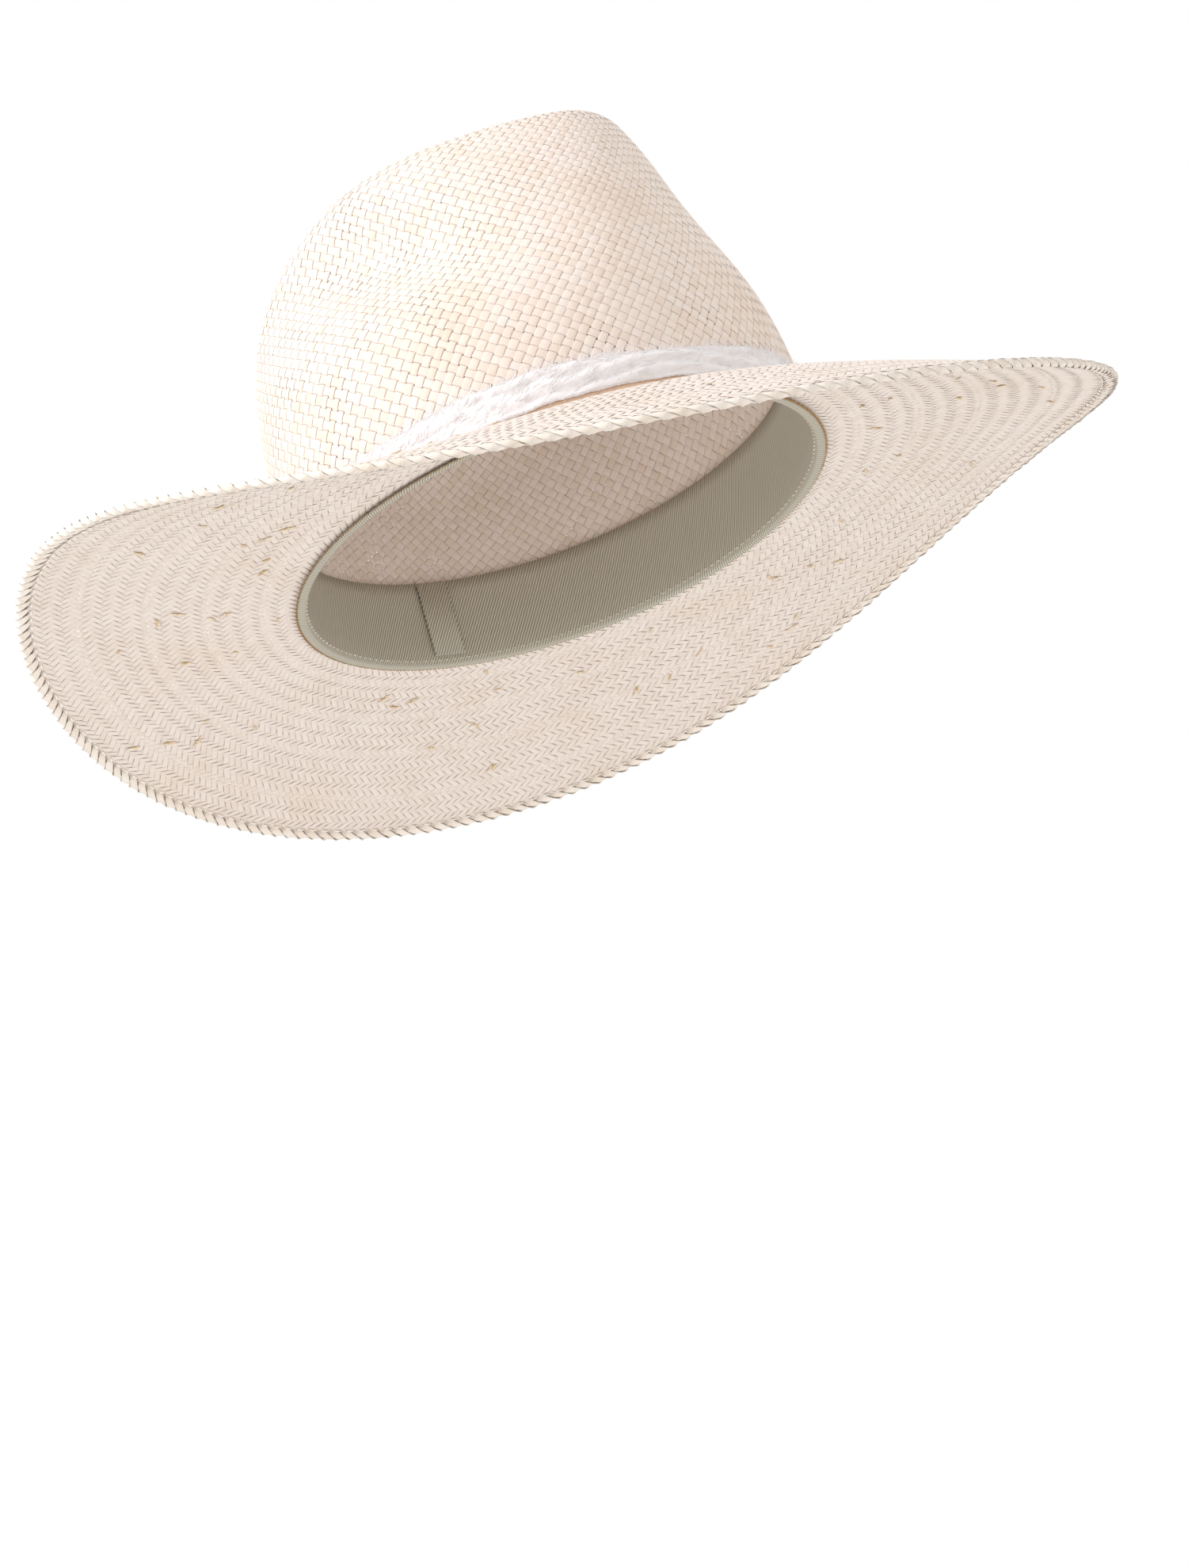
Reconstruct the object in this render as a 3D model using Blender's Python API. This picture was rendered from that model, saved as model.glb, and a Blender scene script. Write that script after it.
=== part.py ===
"""Panama hat: a pinched straw crown on a wide waved straw brim.

Metres, +Z up the crown, -Y the wearer's front, +X the wearer's left.
The origin is the middle of the head opening, on the head line where crown and brim meet.
Every ring is swept round the head oval through the same stations, so neighbours stay parallel.
"""

import math

import bmesh
import bpy
from mathutils import Vector

# Head opening, measured inside the sweatband at the head line
HEAD_HALF_WIDTH = 0.0850
HEAD_HALF_LENGTH = 0.1000

# Thicknesses, and the clearance between pieces that touch
CROWN_STRAW = 0.0012
BRIM_STRAW = 0.0012
RIBBON = 0.0008
TAPE = 0.0006
COTTON = 0.0009
THREAD = 0.0005
GAP = 0.0003

# Crown: a tapered wall, a rounded rim and a dented teardrop top
CROWN_HEIGHT = 0.1153
CROWN_FRONT_RISE = 0.0120
CROWN_SIDE_RISE = 0.0096
CROWN_PEAK = 0.0026
PEAK_SPREAD = 0.45
TIP_NARROWER = 0.0216
TIP_SHORTER = 0.0158
TIP_HALF_WIDTH = HEAD_HALF_WIDTH - TIP_NARROWER
TIP_HALF_LENGTH = HEAD_HALF_LENGTH - TIP_SHORTER
TIP_BACK_SHIFT = 0.0126
TIP_NARROWING = 0.26
RIDGE_LEAN = 0.0107
RIDGE_SPREAD = 0.70
WALL_CURVE = 2.2
RIM_RADIUS_FRONT = 0.0048
RIM_RADIUS_BACK = 0.0376
TOP_FLOOR = 0.0880
DENT_ANGLE = 1.05
DENT_SPREAD = 0.55
LEFT_DENT_DEPTH = 0.0071
LEFT_DENT_LEVEL = 0.66
LEFT_DENT_BAND = 0.20
RIGHT_DENT_DEPTH = 0.0125
RIGHT_DENT_LEVEL = 0.67
RIGHT_DENT_TILT = 0.18
RIGHT_DENT_BAND = 0.15

# Brim: its reach past the head line, and its edge height as waves of (order, cosine, sine)
BRIM_REACH = 0.0963
BRIM_REACH_FRONT = 0.0016
BRIM_REACH_ENDS = 0.0027
BRIM_EDGE_DROP = 0.0179
BRIM_WAVES = ((1, -0.0114, -0.0033), (2, -0.0237, 0.0062), (3, 0.0012, 0.0012), (4, 0.0016, 0.0))
BRIM_CURVE = 1.4

# Hem: straw turned round the brim's edge over a wire, and sewn through
HEM_WIDTH = 0.0044
HEM_WALL = 0.0007
WIRE = 0.0010

# Trim at the head line
CROWN_FOOT = BRIM_STRAW / 2 + 2 * GAP
TAPE_HEIGHT = 0.0050
TAPE_SHOWING = 0.0018
BAND_HEIGHT = 0.0120
BAND_SWELL = 0.0012
BAND_SWELL_AT = -0.60
BAND_DIP = 0.0026
BAND_DIP_SPREAD = 0.35
BAND_LAP_FROM = 1.40
BAND_LAP_TO = 1.85
LAP_INSET = 0.0008
TACK_LENGTH = 0.0050
TACK_MARGIN = 0.06
SWEATBAND_HEIGHT = 0.0300
SWEATBAND_LIP = 0.0026
SWEATBAND_LAP_HALF = 0.07

# Mesh fineness
STATIONS = 64
WALL_ROWS = 6
RIM_ROWS = 3
TOP_ROWS = 4
BRIM_ROWS = 8
THREAD_SIDES = 4
STEP = 1e-4


def clear_scene():
    for item in list(bpy.data.objects):
        bpy.data.objects.remove(item, do_unlink=True)


def oval(angle, grow):
    """A point of the head oval, grown outwards; angle 0 is the front, then towards the left."""
    x = (HEAD_HALF_WIDTH + grow) * math.sin(angle)
    y = -(HEAD_HALF_LENGTH + grow) * math.cos(angle)
    return Vector((x, y, 0.0))


def blend(low, high, share):
    return low + (high - low) * share


def bump(distance, spread):
    return math.exp(-(distance / spread) ** 2)


# ---- Crown surface ----

def rim_height(angle):
    rise = CROWN_FRONT_RISE * math.cos(angle) - CROWN_SIDE_RISE * math.cos(2 * angle)
    return CROWN_HEIGHT + rise + CROWN_PEAK * bump(angle, PEAK_SPREAD)


def rim_radius(angle):
    return blend(RIM_RADIUS_FRONT, RIM_RADIUS_BACK, (1 - math.cos(angle)) / 2)


def wall_share(angle):
    """The share of the height where the wall ends and the rounded rim begins."""
    return 1 - rim_radius(angle) / (rim_height(angle) - CROWN_FOOT)


def side_angle(angle):
    """The angle folded into -pi to pi."""
    return math.atan2(math.sin(angle), math.cos(angle))


def wall_point(angle, share, inset):
    """A point of the outer wall at a share of its height, drawn in by the rim's inset."""
    angle = side_angle(angle)
    foot = oval(angle, RIBBON + GAP + CROWN_STRAW)
    tip_x = TIP_HALF_WIDTH * math.sin(angle) * (1 - TIP_NARROWING * math.cos(angle))
    tip_x += RIDGE_LEAN * bump(angle, RIDGE_SPREAD)
    tip = Vector((tip_x, TIP_BACK_SHIFT - TIP_HALF_LENGTH * math.cos(angle), 0.0))
    point = foot.lerp(tip, share ** WALL_CURVE)
    left = bump(angle - DENT_ANGLE, DENT_SPREAD) * bump(share - LEFT_DENT_LEVEL, LEFT_DENT_BAND)
    level = RIGHT_DENT_LEVEL - RIGHT_DENT_TILT * (angle + DENT_ANGLE)
    right = bump(angle + DENT_ANGLE, DENT_SPREAD) * bump(share - level, RIGHT_DENT_BAND)
    inset += LEFT_DENT_DEPTH * left + RIGHT_DENT_DEPTH * right
    point *= 1 - inset / point.length
    point.z = blend(CROWN_FOOT, rim_height(angle), share)
    return point


def crown_surface(angle, along):
    """The outer surface: along is 0 to 1 up the wall, to 2 round the rim, to 3 over the top."""
    upright = wall_share(side_angle(angle))
    if along <= 1:
        return wall_point(angle, max(upright * along, 0.0), 0.0)
    if along <= 2:
        turn = (along - 1) * math.pi / 2
        inset = rim_radius(angle) * (1 - math.cos(turn))
        return wall_point(angle, blend(upright, 1.0, math.sin(turn)), inset)
    rim = crown_surface(angle, 2)
    out = max(3 - along, 0.0)
    middle = Vector((0.0, TIP_BACK_SHIFT, TOP_FLOOR))
    point = middle.lerp(rim, out)
    point.z = blend(TOP_FLOOR, rim.z, out * out * (3 - 2 * out))
    return point


def crown_point(angle, along, out):
    """The outer surface moved out along its own normal; a negative out moves it in."""
    low = max(along - STEP, 0.0)
    high = min(along + STEP, 3.0 - STEP)
    round_way = crown_surface(angle + STEP, along) - crown_surface(angle - STEP, along)
    up_way = crown_surface(angle, high) - crown_surface(angle, low)
    return crown_surface(angle, along) + round_way.cross(up_way).normalized() * out


def crown_at(angle, height, out):
    """A point beside the wall at a height above the crown's foot."""
    tall = rim_height(side_angle(angle)) - CROWN_FOOT
    return crown_point(angle, height / (tall * wall_share(side_angle(angle))), out)


# ---- Brim surface ----

def brim_reach(bearing):
    ends = BRIM_REACH_ENDS * math.cos(2 * bearing)
    return BRIM_REACH + BRIM_REACH_FRONT * math.cos(bearing) + ends


def brim_edge_height(bearing):
    height = -BRIM_EDGE_DROP
    for order, cosine, sine in BRIM_WAVES:
        height += cosine * math.cos(order * bearing) + sine * math.sin(order * bearing)
    return height


def brim_surface(angle, share):
    """The brim's middle surface, from the head line at share 0 to the finished edge at 1."""
    head = oval(angle, 0.0)
    bearing = math.atan2(head.x, -head.y)
    point = head * (1 + share * brim_reach(bearing) / head.length)
    point.z = brim_edge_height(bearing) * max(share, 0.0) ** BRIM_CURVE
    return point


def brim_point(angle, inset, lift, from_edge):
    """A point off the brim, inset from its edge or out from the head line, lifted along its normal."""
    share = 1.0 if from_edge else inset / BRIM_REACH
    out_way = brim_surface(angle, share) - brim_surface(angle, share - STEP)
    round_way = brim_surface(angle + STEP, share) - brim_surface(angle - STEP, share)
    normal = round_way.cross(out_way).normalized()
    normal *= math.copysign(1.0, normal.z)
    point = brim_surface(angle, share)
    if from_edge:
        point -= out_way.normalized() * inset
    return point + normal * lift


# ---- Building ----

def angles(start, end, count):
    return [blend(start, end, i / count) for i in range(count + 1)]


def all_round():
    return angles(0.0, 2 * math.pi, STATIONS)[:-1]


def add_object(name, points, faces, colour, roughness):
    mesh = bpy.data.meshes.new(name)
    mesh.from_pydata(points, [], faces)
    work = bmesh.new()
    work.from_mesh(mesh)
    bmesh.ops.recalc_face_normals(work, faces=work.faces)
    work.to_mesh(mesh)
    work.free()
    mesh.shade_smooth()
    mesh.set_sharp_from_angle(angle=math.radians(50))
    material = bpy.data.materials.new(name)
    material.use_nodes = True
    shader = material.node_tree.nodes["Principled BSDF"]
    shader.inputs["Base Color"].default_value = (*colour, 1.0)
    shader.inputs["Roughness"].default_value = roughness
    shader.inputs["Metallic"].default_value = 0.0
    mesh.materials.append(material)
    bpy.context.collection.objects.link(bpy.data.objects.new(name, mesh))


def sweep(name, sections, closed, colour, roughness):
    """Join equal closed sections into a ring, or into a bar with both ends capped."""
    count = len(sections[0])
    points = [point for section in sections for point in section]
    faces = []
    for i in range(len(sections) if closed else len(sections) - 1):
        here = i * count
        there = (i + 1) % len(sections) * count
        for j in range(count):
            k = (j + 1) % count
            faces.append((here + j, here + k, there + k, there + j))
    if not closed:
        faces.append(tuple(range(count)))
        faces.append(tuple(range(len(points) - count, len(points))))
    add_object(name, points, faces, colour, roughness)


def disc(across, up, radius, sides):
    """A small circle as (across, up) pairs."""
    turns = [2 * math.pi * i / sides for i in range(sides)]
    return [(across + radius * math.cos(t), up + radius * math.sin(t)) for t in turns]


# ---- Pieces ----

def make_crown():
    rows = angles(0.0, 1.0, WALL_ROWS)[:-1]
    rows += angles(1.0, 2.0, RIM_ROWS)[:-1]
    rows += angles(2.0, 3.0, TOP_ROWS)[:-1]
    top = Vector((0.0, TIP_BACK_SHIFT, TOP_FLOOR))
    points = []
    for out in (0.0, -CROWN_STRAW):
        points += [crown_point(angle, along, out) for along in rows for angle in all_round()]
    points += [top, top - Vector((0.0, 0.0, CROWN_STRAW))]
    skin = len(rows) * STATIONS
    faces = []
    for j in range(STATIONS):
        k = (j + 1) % STATIONS
        faces.append((j, k, skin + k, skin + j))
        for side in (0, 1):
            base = side * skin
            for i in range(len(rows) - 1):
                low = base + i * STATIONS
                high = low + STATIONS
                faces.append((low + j, low + k, high + k, high + j))
            last = base + skin - STATIONS
            faces.append((last + j, last + k, 2 * skin + side))
    add_object("crown", points, faces, (0.86, 0.78, 0.64), 0.6)


def make_brim():
    reach_in = RIBBON + GAP
    edge_inset = HEM_WALL + WIRE + 2 * GAP
    sections = []
    for angle in all_round():
        section = []
        for lift in (1, -1):
            row = [brim_point(angle, reach_in, lift * BRIM_STRAW / 2, False)]
            for i in range(1, BRIM_ROWS):
                out = blend(reach_in, BRIM_REACH - 2 * HEM_WIDTH, i / BRIM_ROWS)
                row.append(brim_point(angle, out, lift * BRIM_STRAW / 2, False))
            row.append(brim_point(angle, HEM_WIDTH + GAP, lift * BRIM_STRAW / 2, True))
            row.append(brim_point(angle, edge_inset, lift * BRIM_STRAW / 2, True))
            section += row if lift == 1 else row[::-1]
        sections.append(section)
    sweep("brim", sections, True, (0.80, 0.71, 0.56), 0.6)


def hem_outline():
    """The hem's C section as (inset from the edge, lift) pairs, open towards the crown."""
    inside = BRIM_STRAW / 2 + GAP
    outside = inside + HEM_WALL
    corner = outside / 2
    half = [(HEM_WIDTH, inside), (HEM_WIDTH, outside), (corner, outside), (0.0, corner)]
    inner = [(HEM_WALL, 0.0), (HEM_WALL, corner), (corner, inside)]
    lower = [(inset, -lift) for inset, lift in half[::-1]]
    return half + lower + [(corner, -inside), (HEM_WALL, -corner)] + inner[1:]


def make_hem():
    outline = hem_outline()
    sections = [[brim_point(a, inset, lift, True) for inset, lift in outline] for a in all_round()]
    sweep("brim_hem", sections, True, (0.84, 0.76, 0.62), 0.6)


def make_edge_ring(name, inset, lift, width, sides, colour, roughness):
    """A round wire or thread that follows the brim's edge."""
    outline = disc(inset, lift, width / 2, sides)
    sections = [[brim_point(a, across, up, True) for across, up in outline] for a in all_round()]
    sweep(name, sections, True, colour, roughness)


def make_edge_rings():
    make_edge_ring("brim_wire", HEM_WALL + GAP + WIRE / 2, 0.0, WIRE, 6, (0.42, 0.42, 0.43), 0.4)
    seam_inset = HEM_WIDTH - THREAD
    seam_lift = BRIM_STRAW / 2 + GAP + HEM_WALL + GAP + THREAD / 2
    for name, lift in (("hem_thread_top", seam_lift), ("hem_thread_under", -seam_lift)):
        make_edge_ring(name, seam_inset, lift, THREAD, THREAD_SIDES, (0.88, 0.85, 0.78), 0.7)


def upright_section(angle, low, high, inner, thick):
    """Four corners of a strip that stands on the crown's wall."""
    outer = inner + thick
    corners = ((low, inner), (high, inner), (high, outer), (low, outer))
    return [crown_at(angle, height, out) for height, out in corners]


def make_joint_tape():
    sections = [upright_section(a, 0.0, TAPE_HEIGHT, GAP, TAPE) for a in all_round()]
    sweep("joint_tape", sections, True, (0.74, 0.52, 0.36), 0.75)


def make_joint_thread():
    middle = TAPE_SHOWING / 2
    out = GAP + TAPE + GAP + THREAD / 2
    outline = disc(middle, out, THREAD / 2, THREAD_SIDES)
    sections = [[crown_at(a, height, off) for height, off in outline] for a in all_round()]
    sweep("joint_thread", sections, True, (0.45, 0.30, 0.14), 0.7)


def band_top(angle):
    front = math.remainder(angle, 2 * math.pi)
    swell = BAND_SWELL * math.cos(angle - BAND_SWELL_AT)
    return TAPE_SHOWING + BAND_HEIGHT + swell - BAND_DIP * bump(front, BAND_DIP_SPREAD)


def band_off():
    return GAP + TAPE + GAP


def make_hat_band():
    sections = []
    for angle in all_round():
        sections.append(upright_section(angle, TAPE_SHOWING, band_top(angle), band_off(), COTTON))
    sweep("hat_band", sections, True, (0.84, 0.80, 0.79), 0.9)


def make_band_lap():
    off = band_off() + COTTON + GAP
    count = round(STATIONS * (BAND_LAP_TO - BAND_LAP_FROM) / (2 * math.pi)) * 2
    sections = []
    for angle in angles(BAND_LAP_FROM, BAND_LAP_TO, count):
        low = TAPE_SHOWING + LAP_INSET
        high = band_top(angle) - LAP_INSET
        sections.append(upright_section(angle, low, high, off, COTTON))
    sweep("hat_band_lap", sections, False, (0.84, 0.80, 0.79), 0.9)


def make_band_tacks():
    out = band_off() + 2 * COTTON + 2 * GAP + THREAD / 2
    turn = THREAD / 2 / HEAD_HALF_LENGTH
    tacks = (BAND_LAP_FROM + TACK_MARGIN, BAND_LAP_TO - TACK_MARGIN)
    for number, angle in enumerate(tacks, start=1):
        middle = (TAPE_SHOWING + band_top(angle)) / 2
        low = middle - TACK_LENGTH / 2
        sections = []
        for height in (low, middle, low + TACK_LENGTH):
            ring = disc(0.0, 0.0, 1.0, 6)
            section = [crown_at(angle + turn * c, height, out + s * THREAD / 2) for c, s in ring]
            sections.append(section)
        sweep(f"band_tack_{number}", sections, False, (0.88, 0.85, 0.80), 0.7)


def make_sweatband():
    """An L section: a ribbon up the inside of the crown and a lip turned out under the brim."""
    under = -(BRIM_STRAW / 2 + GAP)
    skin = -(CROWN_STRAW + 2 * GAP)
    tall = SWEATBAND_HEIGHT - CROWN_FOOT
    sections = []
    for angle in all_round():
        lip = [
            brim_point(angle, RIBBON, under, False),
            brim_point(angle, RIBBON + SWEATBAND_LIP, under, False),
            brim_point(angle, RIBBON + SWEATBAND_LIP, under - RIBBON, False),
            brim_point(angle, 0.0, under - RIBBON, False),
        ]
        inside = [crown_at(angle, tall * i / 3, skin - RIBBON) for i in range(4)]
        outside = [crown_at(angle, tall * i / 3, skin) for i in range(3, -1, -1)]
        sections.append(lip + inside + outside)
    sweep("sweatband", sections, True, (0.42, 0.39, 0.31), 0.85)


def make_sweatband_lap():
    inner = -(CROWN_STRAW + RIBBON + 3 * GAP)
    tall = SWEATBAND_HEIGHT - CROWN_FOOT
    sections = []
    for angle in angles(math.pi - SWEATBAND_LAP_HALF, math.pi + SWEATBAND_LAP_HALF, 2):
        sections.append(upright_section(angle, 0.0, tall - LAP_INSET, inner - RIBBON, RIBBON))
    sweep("sweatband_lap", sections, False, (0.42, 0.39, 0.31), 0.85)


def make_sweatband_thread():
    out = RIBBON + SWEATBAND_LIP + GAP + THREAD / 2
    lift = -(BRIM_STRAW / 2 + 2 * GAP + THREAD / 2)
    outline = disc(out, lift, THREAD / 2, THREAD_SIDES)
    sections = [[brim_point(a, across, up, False) for across, up in outline] for a in all_round()]
    sweep("sweatband_thread", sections, True, (0.45, 0.30, 0.14), 0.7)


clear_scene()
make_crown()
make_brim()
make_hem()
make_edge_rings()
make_joint_tape()
make_joint_thread()
make_hat_band()
make_band_lap()
make_band_tacks()
make_sweatband()
make_sweatband_lap()
make_sweatband_thread()
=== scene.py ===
"""Panama hat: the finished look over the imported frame. Metres, +Z up, -Y the wearer's front."""

import math

import bmesh
import bpy
import numpy as np
from mathutils import Matrix, Vector, noise


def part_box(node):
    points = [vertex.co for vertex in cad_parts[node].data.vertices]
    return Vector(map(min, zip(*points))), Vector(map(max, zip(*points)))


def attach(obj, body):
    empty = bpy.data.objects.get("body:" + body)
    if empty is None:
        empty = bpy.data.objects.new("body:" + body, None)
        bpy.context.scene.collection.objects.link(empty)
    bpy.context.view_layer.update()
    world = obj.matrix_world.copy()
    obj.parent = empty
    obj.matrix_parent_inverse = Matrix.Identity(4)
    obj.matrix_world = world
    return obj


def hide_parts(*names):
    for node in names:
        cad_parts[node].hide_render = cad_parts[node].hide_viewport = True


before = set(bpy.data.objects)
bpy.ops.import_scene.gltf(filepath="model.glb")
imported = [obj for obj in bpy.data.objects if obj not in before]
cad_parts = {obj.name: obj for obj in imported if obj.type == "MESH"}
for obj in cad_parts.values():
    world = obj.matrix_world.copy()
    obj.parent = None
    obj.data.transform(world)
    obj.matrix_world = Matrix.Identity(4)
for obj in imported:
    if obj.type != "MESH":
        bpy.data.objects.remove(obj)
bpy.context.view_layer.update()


# ---- Crown ----
# The crown is a blocked hood of flat cream straw, woven one over one with the strands on the bias.
# It was pressed to a teardrop with a pinched front while damp, and its foot is sewn to the brim.
# Here each strand is a real flat ribbon that dips over and under the ones it crosses.

RIBBON = 0.0008
SWEATBAND_LIP = 0.0026
GAP = 0.0003
HEAD_HALF_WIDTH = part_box("sweatband")[1][0] - RIBBON - SWEATBAND_LIP
HEAD_HALF_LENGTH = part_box("sweatband")[1][1] - RIBBON - SWEATBAND_LIP
CROWN_STRAW = 0.0012
CROWN_FOOT = 0.0012
CROWN_HEIGHT = 0.1153
CROWN_FRONT_RISE = 0.0120
CROWN_SIDE_RISE = 0.0096
CROWN_PEAK = 0.0026
PEAK_SPREAD = 0.45
TIP_HALF_WIDTH = 0.0634
TIP_HALF_LENGTH = 0.0842
TIP_BACK_SHIFT = 0.0126
TIP_NARROWING = 0.26
RIDGE_LEAN = 0.0107
RIDGE_SPREAD = 0.70
WALL_CURVE = 2.2
RIM_RADIUS_FRONT = 0.0048
RIM_RADIUS_BACK = 0.0376
TOP_FLOOR = 0.0880
DENT_ANGLE = 1.05
DENT_SPREAD = 0.55
LEFT_DENT_DEPTH = 0.0071
LEFT_DENT_LEVEL = 0.66
LEFT_DENT_BAND = 0.20
RIGHT_DENT_DEPTH = 0.0125
RIGHT_DENT_LEVEL = 0.67
RIGHT_DENT_TILT = 0.18
RIGHT_DENT_BAND = 0.15
NUDGE = 1e-4


def oval(angle, grow):
    """Points of the head oval, grown outwards; angle 0 is the front, then towards the left."""
    x = (HEAD_HALF_WIDTH + grow) * np.sin(angle)
    y = -(HEAD_HALF_LENGTH + grow) * np.cos(angle)
    return np.stack([x, y, np.zeros_like(x)], axis=-1)


def bump(distance, spread):
    return np.exp(-(distance / spread) ** 2)


def folded(angle):
    return np.arctan2(np.sin(angle), np.cos(angle))


def rim_height(angle):
    rise = CROWN_FRONT_RISE * np.cos(angle) - CROWN_SIDE_RISE * np.cos(2 * angle)
    return CROWN_HEIGHT + rise + CROWN_PEAK * bump(folded(angle), PEAK_SPREAD)


def rim_radius(angle):
    return RIM_RADIUS_FRONT + (RIM_RADIUS_BACK - RIM_RADIUS_FRONT) * (1 - np.cos(angle)) / 2


def wall_share(angle):
    return 1 - rim_radius(angle) / (rim_height(angle) - CROWN_FOOT)


def wall_point(angle, share, inset):
    """The outer wall at a share of its height, drawn in by the rounded rim's inset."""
    angle = folded(angle)
    foot = oval(angle, RIBBON + GAP + CROWN_STRAW)
    tip = np.zeros_like(foot)
    tip[..., 0] = TIP_HALF_WIDTH * np.sin(angle) * (1 - TIP_NARROWING * np.cos(angle))
    tip[..., 0] += RIDGE_LEAN * bump(angle, RIDGE_SPREAD)
    tip[..., 1] = TIP_BACK_SHIFT - TIP_HALF_LENGTH * np.cos(angle)
    point = foot + (tip - foot) * (share ** WALL_CURVE)[..., None]
    left = bump(angle - DENT_ANGLE, DENT_SPREAD) * bump(share - LEFT_DENT_LEVEL, LEFT_DENT_BAND)
    level = RIGHT_DENT_LEVEL - RIGHT_DENT_TILT * (angle + DENT_ANGLE)
    right = bump(angle + DENT_ANGLE, DENT_SPREAD) * bump(share - level, RIGHT_DENT_BAND)
    inset = inset + LEFT_DENT_DEPTH * left + RIGHT_DENT_DEPTH * right
    point *= (1 - inset / np.linalg.norm(point, axis=-1))[..., None]
    point[..., 2] = CROWN_FOOT + (rim_height(angle) - CROWN_FOOT) * share
    return point


def crown_surface(angle, along):
    """The outer surface: along is 0 to 1 up the wall, to 2 round the rim, to 3 over the top."""
    angle, along = np.broadcast_arrays(np.asarray(angle, float), np.asarray(along, float))
    upright = wall_share(angle)
    turn = np.clip(along - 1, 0, 1) * math.pi / 2
    share = upright * np.clip(along, 0, 1) + (1 - upright) * np.sin(turn)
    side = wall_point(angle, share, rim_radius(angle) * (1 - np.cos(turn)))
    out = np.clip(3 - along, 0, 1)
    top = side.copy()
    top[..., 0] *= out
    top[..., 1] = TIP_BACK_SHIFT + (side[..., 1] - TIP_BACK_SHIFT) * out
    level = out * out * (3 - 2 * out)
    top[..., 2] = TOP_FLOOR + (side[..., 2] - TOP_FLOOR) * level
    return np.where((along > 2)[..., None], top, side)


def crown_normal(angle, along):
    along = np.clip(np.asarray(along, float), NUDGE, 3 - 2 * NUDGE)
    round_way = crown_surface(angle + NUDGE, along) - crown_surface(angle - NUDGE, along)
    up_way = crown_surface(angle, along + NUDGE) - crown_surface(angle, along - NUDGE)
    normal = np.cross(round_way, up_way)
    return normal / np.linalg.norm(normal, axis=-1, keepdims=True)


# The lattice is laid like a lid: a square of strands on the tip, folded down into four walls.
# Its side is a 3-4-5 step of the lattice, which sets the bias, and its corners lie in holes.
SIDE_ACROSS = 36
SIDE_DOWN = 27
SIDE = math.hypot(SIDE_ACROSS, SIDE_DOWN)
STEP_ALONG = np.array([SIDE_ACROSS, SIDE_DOWN]) / SIDE
FIRST_WALL = math.radians(45)
EVEN_BY = 16
DIP = 0.27


def quarter_turn(vector, times):
    x, y = vector
    for _ in range(times % 4):
        x, y = -y, x
    return np.array([x, y])


def corner(wall):
    """The lattice corner where a wall begins."""
    at = np.array([0.5, 0.5])
    for k in range(wall % 4):
        at = at + quarter_turn((SIDE_ACROSS, SIDE_DOWN), k)
    return at


CORNERS = [corner(k) for k in range(4)]
ALONG = [quarter_turn(STEP_ALONG, k) for k in range(4)]
OUTWARD = [quarter_turn(STEP_ALONG, k - 1) for k in range(4)]
TIP = 4


def settle(wall, point, heading):
    """Moves a lattice point that has left its wall into the wall, or the tip, that it is now in."""
    for _ in range(4):
        if wall == TIP:
            reach = [float((point - CORNERS[k]) @ OUTWARD[k]) for k in range(4)]
            if max(reach) <= 0:
                return wall, point, heading
            wall = int(np.argmax(reach))
        across = float((point - CORNERS[wall]) @ ALONG[wall])
        if across > SIDE:
            pivot = CORNERS[(wall + 1) % 4]
            point = pivot + quarter_turn(point - pivot, 1)
            heading = quarter_turn(heading, 1)
            wall = (wall + 1) % 4
        elif across < 0:
            pivot = CORNERS[wall]
            point = pivot + quarter_turn(point - pivot, 3)
            heading = quarter_turn(heading, 3)
            wall = (wall + 3) % 4
        elif (point - CORNERS[wall]) @ OUTWARD[wall] < 0:
            wall = TIP
        else:
            return wall, point, heading
    return wall, point, heading


def wall_steps():
    """How many strands lie between the tip's edge and each level of the wall, and where
    the same shares of the way down lie at every angle, so that rows grow and shrink evenly."""
    levels = np.linspace(2, 0, 241)
    turns = np.linspace(0, 2 * math.pi, 181)
    grid = crown_surface(turns[None, :], levels[:, None])
    girth = np.linalg.norm(np.diff(grid, axis=1), axis=-1).sum(axis=1)
    slants = np.linalg.norm(np.diff(grid, axis=0), axis=-1)
    strand = (girth[1:] + girth[:-1]) / 2 / (4 * SIDE)
    steps = np.concatenate([[0], np.cumsum(slants.mean(axis=1) / strand)])
    shares = np.concatenate([[0], np.cumsum(slants.mean(axis=1))])
    own = np.concatenate([np.zeros((1, len(turns))), np.cumsum(slants, axis=0)])
    even = [np.interp(shares / shares[-1], column / column[-1], levels) for column in own.T]
    return steps, turns, np.array(even)


STEPS_DOWN, WALL_TURNS, WALL_LEVELS = wall_steps()


def level_at(angle, down):
    """The surface's along value at a count of strands down from the tip's edge."""
    place = (angle % (2 * math.pi)) / WALL_TURNS[1]
    first = min(int(place), len(WALL_TURNS) - 2)
    low, high = (np.interp(down, STEPS_DOWN, WALL_LEVELS[k]) for k in (first, first + 1))
    return float(low + (high - low) * (place - first))


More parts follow.
